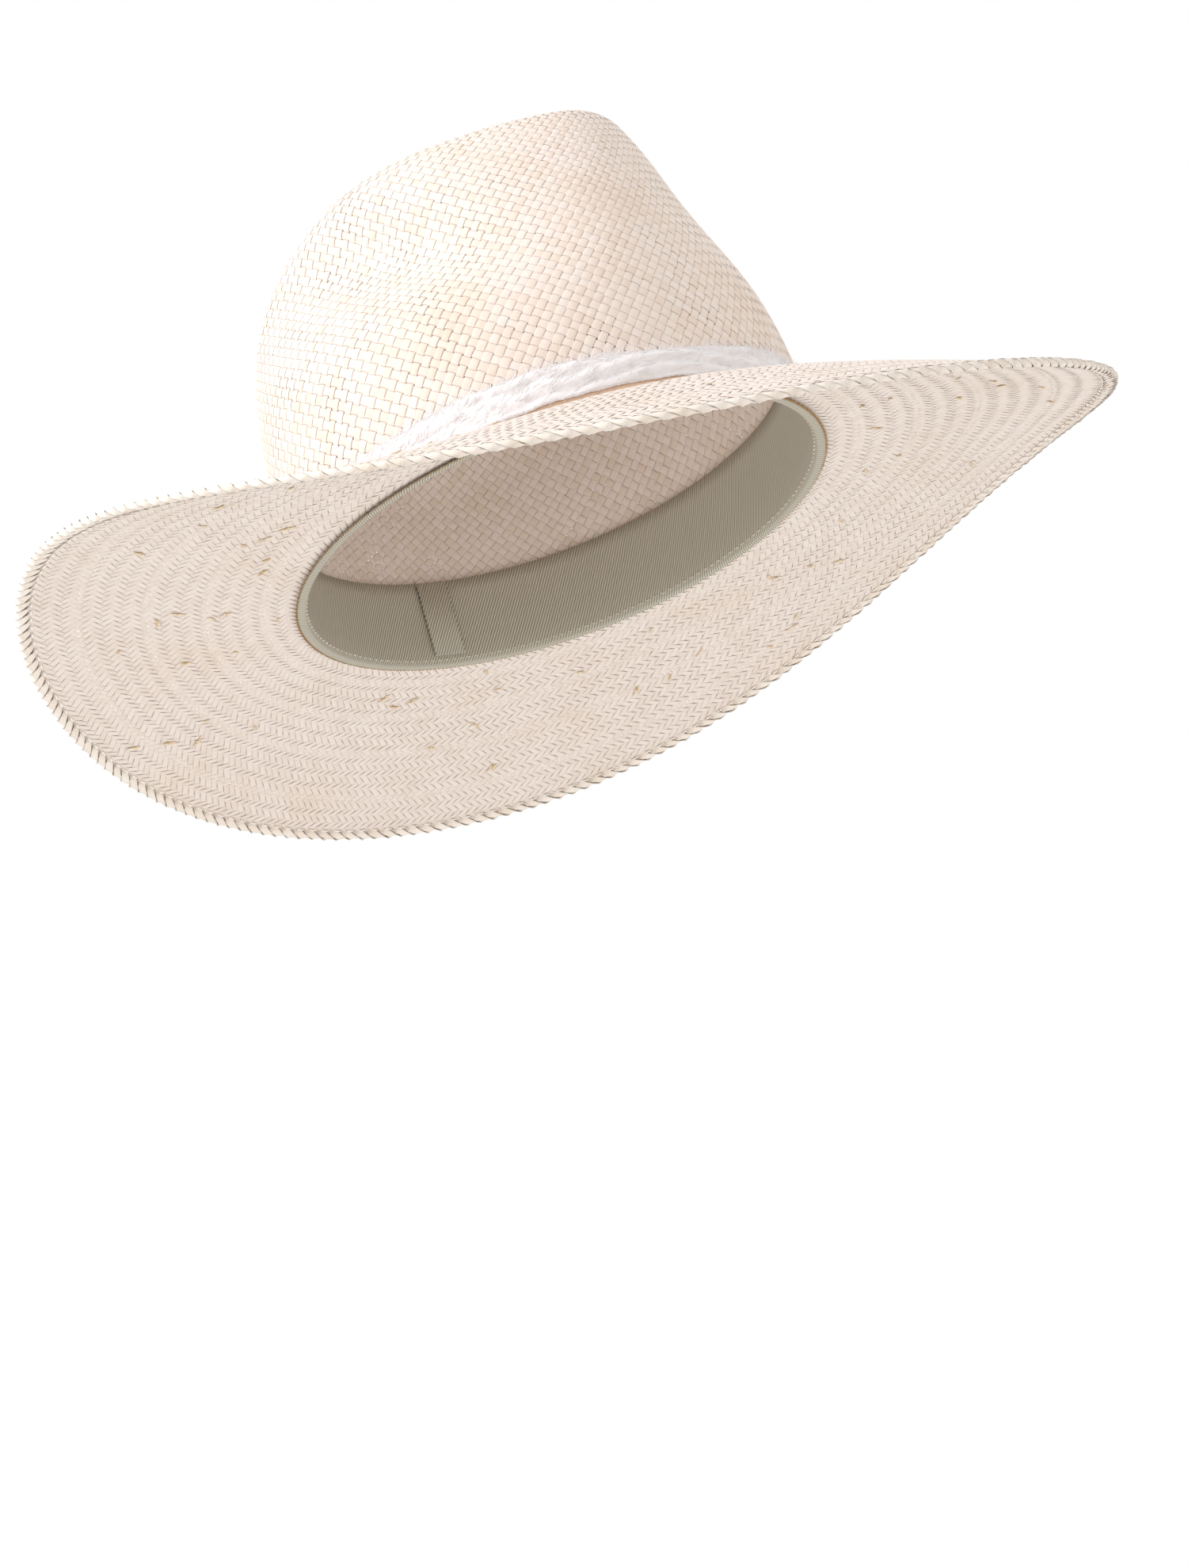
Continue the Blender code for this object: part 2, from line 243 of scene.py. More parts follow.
def lattice_to_crown(wall, point):
    """(angle, along) of a lattice point, wherever it now lies."""
    wall, point, _ = settle(wall, point, (1, 0))
    if wall == TIP:
        middle = (CORNERS[0] + CORNERS[2]) / 2
        x = float((point - middle) @ ALONG[0]) * 2 / SIDE
        y = float((point - middle) @ ALONG[1]) * 2 / SIDE
        u = x * math.sqrt(1 - y * y / 2)
        v = y * math.sqrt(1 - x * x / 2)
        return FIRST_WALL + math.atan2(u, -v), 3 - min(math.hypot(u, v), 1)
    across = float((point - CORNERS[wall]) @ ALONG[wall]) * 2 / SIDE - 1
    down = float((point - CORNERS[wall]) @ OUTWARD[wall])
    folded_down = math.asin(max(-1, min(1, across)) / math.sqrt(2))
    evened = across * math.pi / 4
    ease = min(1, down / EVEN_BY)
    ease = ease * ease * (3 - 2 * ease)
    angle = FIRST_WALL + wall * math.pi / 2 + folded_down + (evened - folded_down) * ease
    return angle, level_at(angle, down)


def crown_strands():
    """Every strand as a run of (wall, lattice point, heading), from foot to foot over the crown."""
    runs = []
    seen = set()
    depth = STEPS_DOWN[-1] - 0.1
    reach = int(depth + SIDE) + 2
    for wall in range(4):
        for x in range(-reach, reach):
            for y in range(-reach, reach):
                start = CORNERS[wall] - 0.5 + np.array([x, y])
                offset = start - CORNERS[wall]
                if not 0 <= offset @ ALONG[wall] <= SIDE or not 0 < offset @ OUTWARD[wall] <= depth:
                    continue
                for turn in range(4):
                    heading = quarter_turn((1, 0), turn)
                    if (offset - heading) @ OUTWARD[wall] <= depth:
                        continue
                    key = (wall, *start.astype(int), *(abs(heading)))
                    if key in seen:
                        continue
                    run = []
                    state = (wall, start, heading)
                    while True:
                        run.append(state)
                        here, point, way = settle(state[0], state[1] + state[2], state[2])
                        if here != TIP and (point - CORNERS[here]) @ OUTWARD[here] > depth:
                            break
                        state = (here, point, way)
                    seen.add(key)
                    seen.add((state[0], *state[1].astype(int), *(abs(state[2]))))
                    runs.append(run)
    return runs


def crown_paths(run):
    """Samples each side of every crossing: (angle, along) here and to both sides, and over or under."""
    rows = []
    for wall, point, heading in run:
        level = (int(point[0]) + int(point[1])) % 2 == 0
        over = 1.0 if level == (heading[0] != 0) else -1.0
        side = quarter_turn(heading, 1) * 0.5
        for share in (-DIP, DIP):
            at = point + heading * share
            here = lattice_to_crown(wall, at)
            left = lattice_to_crown(wall, at + side)
            right = lattice_to_crown(wall, at - side)
            rows.append((*here, *left, *right, over))
    return np.array(rows)


def add_node(tree, kind, links=(), values=(), **settings):
    """Adds a node, sets its properties and socket values, and links sockets into it by name or index."""
    node = tree.nodes.new(kind)
    for key, value in settings.items():
        setattr(node, key, value)
    for socket, value in dict(values).items():
        node.inputs[socket].default_value = value
    for socket, source in dict(links).items():
        tree.links.new(source, node.inputs[socket])
    return node


def new_tree(name, sizes):
    """A Geometry Nodes tree with a mesh in, a mesh out and the named inputs."""
    tree = bpy.data.node_groups.new(name, "GeometryNodeTree")
    tree.interface.new_socket("Geometry", in_out="OUTPUT", socket_type="NodeSocketGeometry")
    tree.interface.new_socket("Geometry", in_out="INPUT", socket_type="NodeSocketGeometry")
    for label, kind in sizes:
        tree.interface.new_socket(label, in_out="INPUT", socket_type="NodeSocket" + kind)
    return tree, tree.nodes.new("NodeGroupInput")


def close_tree(tree, start, geometry):
    """Ends a tree with real geometry and its material."""
    real = add_node(tree, "GeometryNodeRealizeInstances", {0: geometry})
    painted = add_node(tree, "GeometryNodeSetMaterial", {0: real.outputs[0], 2: start.outputs["Material"]})
    out = tree.nodes.new("NodeGroupOutput")
    tree.links.new(painted.outputs[0], out.inputs[0])


# How far the round profile is widened before its sides are cut flat: 1 is round, more is squarer.
SHOULDER = 1.5


def strand_tree():
    """Sweeps a flat straw along every path of the guide mesh, lying on the surface."""
    tree, start = new_tree("straw_strands", [("Thickness", "Float"), ("Material", "Material")])
    lie = add_node(tree, "GeometryNodeInputNamedAttribute", values={0: "lie"}, data_type="FLOAT_VECTOR")
    rise = add_node(tree, "GeometryNodeInputNamedAttribute", values={0: "rise"}, data_type="FLOAT")
    breadth = add_node(tree, "GeometryNodeInputNamedAttribute", values={0: "breadth"}, data_type="FLOAT")
    paths = add_node(tree, "GeometryNodeMeshToCurve", {0: start.outputs[0]})
    shift = add_node(tree, "ShaderNodeVectorMath", {0: lie.outputs[0], "Scale": rise.outputs[0]},
                     operation="SCALE")
    lifted = add_node(tree, "GeometryNodeSetPosition", {0: paths.outputs[0], "Offset": shift.outputs[0]})
    turned = add_node(tree, "GeometryNodeSetCurveNormal", {0: lifted.outputs[0], "Normal": lie.outputs[0]},
                      mode="FREE")
    run = add_node(tree, "GeometryNodeSplineParameter")
    marked = add_node(tree, "GeometryNodeStoreNamedAttribute",
                      {0: turned.outputs[0], "Value": run.outputs["Length"]},
                      {"Name": "run"}, data_type="FLOAT", domain="POINT")
    ring = add_node(tree, "GeometryNodeCurvePrimitiveCircle", values={"Resolution": 6, "Radius": 0.5})
    around = add_node(tree, "GeometryNodeSplineParameter")
    turned_ring = add_node(tree, "GeometryNodeStoreNamedAttribute",
                           {0: ring.outputs[0], "Value": around.outputs["Factor"]},
                           {"Name": "around"}, data_type="FLOAT", domain="POINT")
    spot = add_node(tree, "GeometryNodeInputPosition")
    wide = add_node(tree, "ShaderNodeVectorMath", {0: spot.outputs[0]}, {1: (SHOULDER, 1, 1)},
                    operation="MULTIPLY")
    under = add_node(tree, "ShaderNodeVectorMath", {0: wide.outputs[0]}, {1: (0.5, 1, 1)},
                     operation="MINIMUM")
    over = add_node(tree, "ShaderNodeVectorMath", {0: under.outputs[0]}, {1: (-0.5, -1, -1)},
                    operation="MAXIMUM")
    squared = add_node(tree, "GeometryNodeSetPosition", {0: turned_ring.outputs[0],
                                                         "Position": over.outputs[0]})
    flat = add_node(tree, "ShaderNodeCombineXYZ", {1: start.outputs["Thickness"]}, {0: 1.0, 2: 1.0})
    profile = add_node(tree, "GeometryNodeTransform", {0: squared.outputs[0], "Scale": flat.outputs[0]},
                       {"Rotation": (0, 0, math.pi / 2)})
    body = add_node(tree, "GeometryNodeCurveToMesh",
                    {0: marked.outputs[0], 1: profile.outputs[0], "Scale": breadth.outputs[0]},
                    {"Fill Caps": True})
    close_tree(tree, start, body.outputs[0])
    return tree


STRANDS = strand_tree()


def grown(name, guide, tree, values):
    """Evaluates a tree on a guide mesh and keeps the result as a plain mesh object."""
    holder = bpy.data.objects.new(name + "_guide", guide)
    bpy.context.collection.objects.link(holder)
    modifier = holder.modifiers.new("grow", "NODES")
    modifier.node_group = tree
    for item in tree.interface.items_tree:
        if item.item_type == "SOCKET" and item.in_out == "INPUT" and item.name in values:
            modifier[item.identifier] = values[item.name]
    evaluated = holder.evaluated_get(bpy.context.evaluated_depsgraph_get())
    mesh = bpy.data.meshes.new_from_object(evaluated)
    bpy.data.objects.remove(holder, do_unlink=True)
    mesh.name = name
    mesh.shade_smooth()
    piece = bpy.data.objects.new(name, mesh)
    bpy.context.collection.objects.link(piece)
    return piece


def guide_mesh(name, runs):
    """Open paths as one edge mesh. Each run is (points, lie, rise, breadth, tone) arrays."""
    points = np.concatenate([run[0] for run in runs])
    edges = []
    first = 0
    for run in runs:
        edges += [(first + i, first + i + 1) for i in range(len(run[0]) - 1)]
        first += len(run[0])
    mesh = bpy.data.meshes.new(name)
    mesh.from_pydata(points, edges, [])
    for label, kind, column in (("lie", "FLOAT_VECTOR", 1), ("rise", "FLOAT", 2),
                                ("breadth", "FLOAT", 3), ("tone", "FLOAT", 4)):
        data = np.concatenate([run[column] for run in runs]).astype(np.float32)
        layer = mesh.attributes.new(label, kind, "POINT")
        layer.data.foreach_set("vector" if kind == "FLOAT_VECTOR" else "value", data.ravel())
    return mesh


def drift(points, scale, size, seed):
    """A slow, smooth unevenness for each point, about -size to size."""
    shift = Vector((seed * 7.3, seed * 3.1, seed * 5.7))
    return np.array([noise.noise(Vector(p) / scale + shift) for p in points]) * 1.6 * size


CROWN_FILL = 0.960
CROWN_UNEVEN = 0.09
CROWN_WAVE = 0.00014
CROWN_FLATNESS = 0.09


def crown_run(run, seed):
    rows = crown_paths(run)
    points = crown_surface(rows[:, 0], rows[:, 1])
    lie = crown_normal(rows[:, 0], rows[:, 1])
    points = points - lie * (CROWN_STRAW / 2)
    left = crown_surface(rows[:, 2], rows[:, 3])
    right = crown_surface(rows[:, 4], rows[:, 5])
    cell = np.linalg.norm(left - right, axis=1)
    own = np.random.default_rng(seed)
    fill = CROWN_FILL * (1 + own.normal(0, CROWN_UNEVEN / 2))
    fill = fill + drift(points, 0.012, CROWN_UNEVEN, 1) + drift(points, 0.004, CROWN_UNEVEN / 2, seed)
    sideways = (left - right) / cell[:, None]
    points = points + sideways * drift(points, 0.006, 0.00012, seed)[:, None]
    tone = own.uniform(0, 1) * 0.75 + 0.25 * own.uniform(0, 1, len(points))
    return points, lie, rows[:, 6] * CROWN_WAVE, cell * np.clip(fill, 0.6, 1.02), tone


def linear(code):
    """A colour socket's value from an sRGB hex code."""
    parts = [int(code[i:i + 2], 16) / 255 for i in (1, 3, 5)]
    return (*[c / 12.92 if c <= 0.04045 else ((c + 0.055) / 1.055) ** 2.4 for c in parts], 1.0)


def new_material(name, roughness):
    """A material with its output and a Principled shader, and nothing else yet."""
    material = bpy.data.materials.new(name)
    material.use_nodes = True
    tree = material.node_tree
    shader = tree.nodes["Principled BSDF"]
    shader.inputs["Roughness"].default_value = roughness
    return material, tree, shader


# How fine the grain is: stains per metre (each some 45 mm across), fibre marks per metre of
# straw and per turn round it, and how far the marks shift between straws of unlike tone.
STAIN_GRAIN = 22.0
FIBRES_ALONG = 250.0
FIBRES_ROUND = 40.0
FIBRES_SHIFT = 90.0


def straw_material(name, pale, warm, deep, roughness):
    """Bleached straw: each strand its own shade, with fine fibres along it and warm stains."""
    material, tree, shader = new_material(name, roughness)
    place = add_node(tree, "ShaderNodeTexCoord")
    tone = add_node(tree, "ShaderNodeAttribute", attribute_name="tone")
    shades = add_node(tree, "ShaderNodeValToRGB", {0: tone.outputs["Fac"]})
    shades.color_ramp.elements[0].color = linear(warm)
    shades.color_ramp.elements[1].color = linear(pale)
    shades.color_ramp.elements[1].position = 0.75
    stain = add_node(tree, "ShaderNodeTexNoise", {"Vector": place.outputs["Object"]},
                     {"Scale": STAIN_GRAIN, "Detail": 3.0, "Roughness": 0.6})
    patch = add_node(tree, "ShaderNodeMapRange", {"Value": stain.outputs["Fac"]},
                     {"From Min": 0.50, "From Max": 0.85, "To Min": 0.0, "To Max": 0.35})
    mixed = add_node(tree, "ShaderNodeMix", {"Factor": patch.outputs[0]}, data_type="RGBA")
    tree.links.new(shades.outputs[0], mixed.inputs[6])
    mixed.inputs[7].default_value = linear(deep)
    tree.links.new(mixed.outputs[2], shader.inputs["Base Color"])
    run = add_node(tree, "ShaderNodeAttribute", attribute_name="run")
    around = add_node(tree, "ShaderNodeAttribute", attribute_name="around")
    slow = add_node(tree, "ShaderNodeMath", {0: run.outputs["Fac"]}, {1: FIBRES_ALONG},
                    operation="MULTIPLY")
    fast = add_node(tree, "ShaderNodeMath", {0: around.outputs["Fac"]}, {1: FIBRES_ROUND},
                    operation="MULTIPLY")
    across = add_node(tree, "ShaderNodeMath", {0: tone.outputs["Fac"]}, {1: FIBRES_SHIFT},
                      operation="MULTIPLY")
    where = add_node(tree, "ShaderNodeCombineXYZ",
                     {0: slow.outputs[0], 1: fast.outputs[0], 2: across.outputs[0]})
    fibres = add_node(tree, "ShaderNodeTexNoise", {"Vector": where.outputs[0]},
                      {"Scale": 1.0, "Detail": 2.0})
    dents = add_node(tree, "ShaderNodeBump", {"Height": fibres.outputs["Fac"]},
                     {"Strength": 0.35, "Distance": 0.0003})
    tree.links.new(dents.outputs[0], shader.inputs["Normal"])
    shader.inputs["Specular IOR Level"].default_value = 0.35
    shader.inputs["Sheen Weight"].default_value = 0.08
    return material


CREAM_STRAW = straw_material("cream_straw", "#EADCD2", "#E3D1C1", "#DAC09E", 0.55)

runs = crown_strands()
groups = 3
for group in range(groups):
    picked = [crown_run(run, 100 + i) for i, run in enumerate(runs) if i % groups == group]
    guide = guide_mesh("crown_guide", picked)
    piece = grown(f"crown_strands_{group + 1}", guide, STRANDS,
                  {"Thickness": CROWN_FLATNESS, "Material": CREAM_STRAW})
    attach(piece, "root")
    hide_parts("crown")


# ---- Joint tape ----
# A narrow peach cotton tape wrapped round the crown's foot, over the seam of crown and brim.
# It is woven flat, laid on edge against the wall, and only its lower border shows under the band.

TAPE = 0.0006
TAPE_HEIGHT = 0.0050
TAPE_SHOWING = 0.0018
TAPE_STATIONS = 480


def crown_at(angle, height, out):
    """Points beside the wall at a height above the crown's foot."""
    angle, height, out = np.broadcast_arrays(*[np.asarray(v, float) for v in (angle, height, out)])
    along = height / ((rim_height(angle) - CROWN_FOOT) * wall_share(angle))
    return crown_surface(angle, along) + crown_normal(angle, along) * out[..., None]


def swept(name, sections, closed, material, uv_size):
    """A closed skin through a row of equal outlines, with a UV map in metres of girth and length."""
    sections = np.asarray(sections)
    stations, sides = sections.shape[:2]
    mesh = bpy.data.meshes.new(name)
    mesh.from_pydata(sections.reshape(-1, 3), [], skin_faces(stations, sides, closed))
    girth = np.linalg.norm(np.diff(sections, axis=1, append=sections[:, :1]), axis=-1).mean(axis=0)
    up = np.concatenate([[0], np.cumsum(girth)])
    step = np.linalg.norm(np.diff(sections, axis=0, append=sections[:1]), axis=-1).mean(axis=1)
    far = np.concatenate([[0], np.cumsum(step)])
    layer = mesh.uv_layers.new(name="cloth")
    coords = np.zeros((len(mesh.loops), 2), np.float32)
    for face in mesh.polygons:
        places = [(mesh.loops[i].vertex_index // sides, mesh.loops[i].vertex_index % sides)
                  for i in face.loop_indices]
        wraps = max(a for a, b in places) - min(a for a, b in places) > stations // 2
        rolls = max(b for a, b in places) - min(b for a, b in places) > sides // 2
        for i, (a, b) in zip(face.loop_indices, places):
            a = stations if wraps and a == 0 else a
            b = sides if rolls and b == 0 else b
            coords[i] = (far[a] / uv_size, up[b] / uv_size)
    layer.data.foreach_set("uv", coords.ravel())
    solid = bmesh.new()
    solid.from_mesh(mesh)
    bmesh.ops.recalc_face_normals(solid, faces=solid.faces)
    solid.to_mesh(mesh)
    solid.free()
    mesh.shade_smooth()
    mesh.materials.append(material)
    piece = bpy.data.objects.new(name, mesh)
    bpy.context.collection.objects.link(piece)
    return piece


def skin_faces(stations, sides, closed):
    faces = []
    for i in range(stations if closed else stations - 1):
        a, b = i * sides, (i + 1) % stations * sides
        for j in range(sides):
            k = (j + 1) % sides
            faces.append((a + j, a + k, b + k, b + j))
    if not closed:
        faces.append(tuple(range(sides)))
        last = (stations - 1) * sides
        faces.append(tuple(range(last + sides - 1, last - 1, -1)))
    return faces


SLUB_GRAIN = 350.0


def cloth_material(name, light, dark, thread, sheen):
    """Plain woven cloth: threads over and under at a real spacing, on the UV map's metres, coloured with
    painted shade that is darker in the weave's hollows.
    """
    material, tree, shader = new_material(name, 0.9)
    place = add_node(tree, "ShaderNodeTexCoord")
    grid = add_node(tree, "ShaderNodeVectorMath", {0: place.outputs["UV"]},
                    {1: (1 / thread, 1 / thread, 0)}, operation="MULTIPLY")
    parts = add_node(tree, "ShaderNodeSeparateXYZ", {0: grid.outputs[0]})
    waves = []
    for socket in ("X", "Y"):
        angle = add_node(tree, "ShaderNodeMath", {0: parts.outputs[socket]}, {1: 2 * math.pi},
                         operation="MULTIPLY")
        wave = add_node(tree, "ShaderNodeMath", {0: angle.outputs[0]}, operation="SINE")
        waves.append(wave)
    weave = add_node(tree, "ShaderNodeMath", {0: waves[0].outputs[0], 1: waves[1].outputs[0]},
                     operation="MULTIPLY")
    slub = add_node(tree, "ShaderNodeTexNoise", {"Vector": place.outputs["Object"]},
                    {"Scale": SLUB_GRAIN, "Detail": 4.0})
    height = add_node(tree, "ShaderNodeMath", {0: weave.outputs[0], 1: slub.outputs["Fac"]},
                      operation="ADD")
    relief = add_node(tree, "ShaderNodeBump", {"Height": height.outputs[0]},
                      {"Strength": 0.5, "Distance": thread / 4})
    tree.links.new(relief.outputs[0], shader.inputs["Normal"])
    # Painted shade: the colour follows the relief's height, dark in the hollows of the weave and light on
    # the raised threads and slubs.
    shade = add_node(tree, "ShaderNodeMapRange", {"Value": height.outputs[0]},
                     {"From Min": -0.6, "From Max": 1.2})
    mixed = add_node(tree, "ShaderNodeMix", {0: shade.outputs[0]}, data_type="RGBA")
    mixed.inputs[6].default_value = linear(dark)
    mixed.inputs[7].default_value = linear(light)
    tree.links.new(mixed.outputs[2], shader.inputs["Base Color"])
    shader.inputs["Sheen Weight"].default_value = sheen
    return material


def turns(count):
    return np.arange(count) / count * 2 * math.pi


def upright_strip(angle, low, high, inner, thick):
    """Closed outlines of a strip that stands on the crown's wall, with its edges softened."""
    soft = thick * 0.3
    outer = inner + thick
    corners = ((low, inner), (high, inner), (high + soft, inner + thick / 2), (high, outer),
               (low, outer), (low - soft, inner + thick / 2))
    return np.stack([crown_at(angle, height, out) for height, out in corners], axis=1)


peach_cotton = cloth_material("peach_cotton_tape", "#F3D9C0", "#E6BE9C", 0.0006, 0.1)
joint_tape = swept("joint_tape_cloth",
                   upright_strip(turns(TAPE_STATIONS), TAPE * 0.4, TAPE_HEIGHT, GAP, TAPE),
                   True, peach_cotton, 1.0)
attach(joint_tape, "root")
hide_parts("joint_tape")


# ---- Joint stitches ----
# Brown cotton stab stitches along the tape's lower border, which hold tape, crown and brim.
# Each stitch is a short length of twisted thread that goes in at both ends.

THREAD = 0.0005
STITCH_STEP = 0.0050
STITCH_LENGTH = 0.0012
PLY_GRAIN = 900.0


def thread_material(name, colour):
    """Twisted cotton sewing thread, matt, with the ply as a fine slanted ripple."""
    material, tree, shader = new_material(name, 0.8)
    shader.inputs["Base Color"].default_value = linear(colour)
    place = add_node(tree, "ShaderNodeTexCoord")
    ply = add_node(tree, "ShaderNodeTexWave", {"Vector": place.outputs["Object"]},
                   {"Scale": PLY_GRAIN, "Distortion": 1.0}, bands_direction="DIAGONAL")
    relief = add_node(tree, "ShaderNodeBump", {"Height": ply.outputs["Fac"]},
                      {"Strength": 0.4, "Distance": 0.0001})
    tree.links.new(relief.outputs[0], shader.inputs["Normal"])
    return material


def stitch_tree():
    """Lays short capsules of thread along the guide edges, one at each of its points."""
    tree, start = new_tree("stitches", [("Width", "Float"), ("Seed", "Int"), ("Material", "Material")])
    aim = add_node(tree, "GeometryNodeInputNamedAttribute", values={0: "aim"}, data_type="FLOAT_VECTOR")
    size = add_node(tree, "GeometryNodeInputNamedAttribute", values={0: "size"}, data_type="FLOAT")
    points = add_node(tree, "GeometryNodeMeshToPoints", {0: start.outputs[0]})
    turn = add_node(tree, "FunctionNodeAlignRotationToVector", {"Vector": aim.outputs[0]}, axis="Z")
    vary = add_node(tree, "FunctionNodeRandomValue", {"Seed": start.outputs["Seed"]},
                    {2: 0.85, 3: 1.15}, data_type="FLOAT")
    long = add_node(tree, "ShaderNodeMath", {0: size.outputs[0], 1: vary.outputs[1]},
                    operation="MULTIPLY")
    grow = add_node(tree, "ShaderNodeCombineXYZ",
                    {0: start.outputs["Width"], 1: start.outputs["Width"], 2: long.outputs[0]})
    capsule = add_node(tree, "GeometryNodeMeshUVSphere",
                       values={"Segments": 6, "Rings": 5, "Radius": 0.5})
    placed = add_node(tree, "GeometryNodeInstanceOnPoints",
                      {"Points": points.outputs[0], "Instance": capsule.outputs[0],
                       "Rotation": turn.outputs[0], "Scale": grow.outputs[0]})
    close_tree(tree, start, placed.outputs[0])
    return tree


STITCHES = stitch_tree()


def point_mesh(name, points, aims, sizes):
    """Loose points that say where each instance sits, which way it lies and how long it is."""
    mesh = bpy.data.meshes.new(name)
    mesh.from_pydata(points, [], [])
    aim = mesh.attributes.new("aim", "FLOAT_VECTOR", "POINT")
    aim.data.foreach_set("vector", np.asarray(aims, np.float32).ravel())
    size = mesh.attributes.new("size", "FLOAT", "POINT")
    size.data.foreach_set("value", np.asarray(np.broadcast_to(sizes, len(points)), np.float32))
    return mesh


def evenly(path, step):
    """Angles that cut a closed path, a function of angle, into equal steps near the size asked for."""
    fine = turns(2880)
    at = path(fine)
    lengths = np.linalg.norm(np.diff(at, axis=0, append=at[:1]), axis=-1)
    far = np.concatenate([[0], np.cumsum(lengths)])
    count = round(far[-1] / step)
    return np.interp(np.arange(count) / count * far[-1], far, np.append(fine, 2 * math.pi))


def tangents(path, angle):
    way = path(angle + NUDGE) - path(angle - NUDGE)
    return way / np.linalg.norm(way, axis=-1, keepdims=True)


brown_thread = thread_material("brown_joint_thread", "#8E6A42")


def joint_line(angle):
    return crown_at(angle, TAPE_SHOWING / 2, GAP + TAPE + THREAD * 0.3)


places = evenly(joint_line, STITCH_STEP)
joint_stitches = grown("joint_stitches",
                       point_mesh("joint_guide", joint_line(places), tangents(joint_line, places),
                                  STITCH_LENGTH),
                       STITCHES, {"Width": THREAD, "Seed": 3, "Material": brown_thread})
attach(joint_stitches, "root")
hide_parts("joint_thread")


# ---- Brim ----
# The brim goes on from the crown in the same flat straw, now in a two-over-two twill on the bias.
# Straws are added in rings as it widens, and joins show as small ochre knots and loose ends.

BRIM_STRAW = 0.0012
BRIM_REACH = 0.0963
BRIM_REACH_FRONT = 0.0016
BRIM_REACH_ENDS = 0.0027
BRIM_EDGE_DROP = 0.0179
BRIM_WAVES = ((1, -0.0114, -0.0033), (2, -0.0237, 0.0062), (3, 0.0012, 0.0012), (4, 0.0016, 0.0))
BRIM_CURVE = 1.4


def brim_surface(angle, share):
    """The middle of the brim's thickness, from the head line at share 0 to the edge at 1."""
    angle, share = np.broadcast_arrays(np.asarray(angle, float), np.asarray(share, float))
    head = oval(angle, 0)
    bearing = np.arctan2(head[..., 0], -head[..., 1])
    reach = BRIM_REACH + BRIM_REACH_FRONT * np.cos(bearing) + BRIM_REACH_ENDS * np.cos(2 * bearing)
    height = -BRIM_EDGE_DROP + sum(c * np.cos(k * bearing) + s * np.sin(k * bearing)
                                   for k, c, s in BRIM_WAVES)
    point = head * (1 + share * reach / np.linalg.norm(head, axis=-1))[..., None]
    point[..., 2] = height * np.clip(share, 0, None) ** BRIM_CURVE
    return point


def unit(vectors):
    return vectors / np.linalg.norm(vectors, axis=-1, keepdims=True)


def brim_up(angle, share):
    share = np.clip(share, 0.002, None)
    round_way = brim_surface(angle + NUDGE, share) - brim_surface(angle - NUDGE, share)
    out_way = brim_surface(angle, share + NUDGE) - brim_surface(angle, share - NUDGE)
    return unit(np.cross(out_way, round_way))


BRIM_ROW = 0.0016
BRIM_FIRST = 0.009
BRIM_LAST = 0.975
BRIM_ZONES = (0.16, 0.35, 0.56, 0.79, 1.0)
STRAND_SPACING = 0.0034
BRIM_FILL = 0.97
BRIM_WAVE = 0.00013
BRIM_FLATNESS = 0.095


def brim_rows():
    """The share of every row of crossings, and how many strands of each family run through it."""
    count = round((BRIM_LAST - BRIM_FIRST) * BRIM_REACH / BRIM_ROW)
    shares = np.linspace(BRIM_FIRST, BRIM_LAST, count)
    fine = turns(720)
    strands = []
    start = 0.0
    for end in BRIM_ZONES:
        middle = brim_surface(fine, (start + end) / 2)
        girth = np.linalg.norm(np.diff(middle, axis=0, append=middle[:1]), axis=-1).sum()
        number = round(girth / STRAND_SPACING)
        strands += [number] * int(((shares > start) & (shares <= end)).sum())
        start = end
    return shares, np.array(strands)


def brim_strands(quarter):
    """The strands of both families whose first crossing lies in one quarter of the brim."""
    shares, strands = brim_rows()
    step = shares[1] - shares[0]
    runs = []
    for number in np.unique(strands):
        rows = np.flatnonzero(strands == number)
        for hand in (1, -1):
            for k in range(number):
                if k * 4 // number != quarter:
                    continue
                own = np.random.default_rng((int(number), hand + 1, k))
                level = np.where(rows % 4 < 2, hand, -hand).astype(float)
                row = np.concatenate([[rows[0] - 0.6], rows, [rows[-1] + 0.6]])
                rise = np.concatenate([[-level[0] * 0.4], level, [-level[-1] * 0.4]])
                angle = 2 * math.pi * (k + 0.5 * hand * (row - rows[0])) / number
                share = np.clip(shares[0] + step * row, BRIM_FIRST / 2, BRIM_LAST + 0.002)
                points = brim_surface(angle, share)
                up = brim_up(angle, share)
                across = np.linalg.norm(brim_surface(angle + math.pi / number, share)
                                        - brim_surface(angle - math.pi / number, share), axis=-1)
                slope = np.arctan2(2 * step * BRIM_REACH, across)
                pitch = across * np.sin(slope)
                fill = BRIM_FILL * (1 + own.normal(0, 0.03)) + drift(points, 0.005, 0.05, number)
                side = unit(np.cross(up, np.gradient(points, axis=0)))
                points = points + side * drift(points, 0.007, 0.00014, k % 7 + hand)[:, None]
                rise = rise * BRIM_WAVE * (1 + drift(points, 0.006, 0.25, 5))
                tone = own.uniform(0, 1) * 0.75 + 0.25 * own.uniform(0, 1, len(points))
                runs.append((points, up, rise, pitch * np.clip(fill, 0.7, 1.0), tone))
    return runs


BRIM_STRAW_LOOK = straw_material("cream_brim_straw", "#E6D9CF", "#DFD0C4", "#D4BFA4", 0.6)

for quarter in range(4):
    guide = guide_mesh("brim_guide", brim_strands(quarter))
    piece = grown(f"brim_strands_{quarter + 1}", guide, STRANDS,
                  {"Thickness": BRIM_FLATNESS, "Material": BRIM_STRAW_LOOK})
    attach(piece, "root")
    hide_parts("brim")

JOINS = 120
JOIN_LENGTH = 0.0048
JOIN_WIDTH = 0.0010
JOIN_GRAIN = 700.0


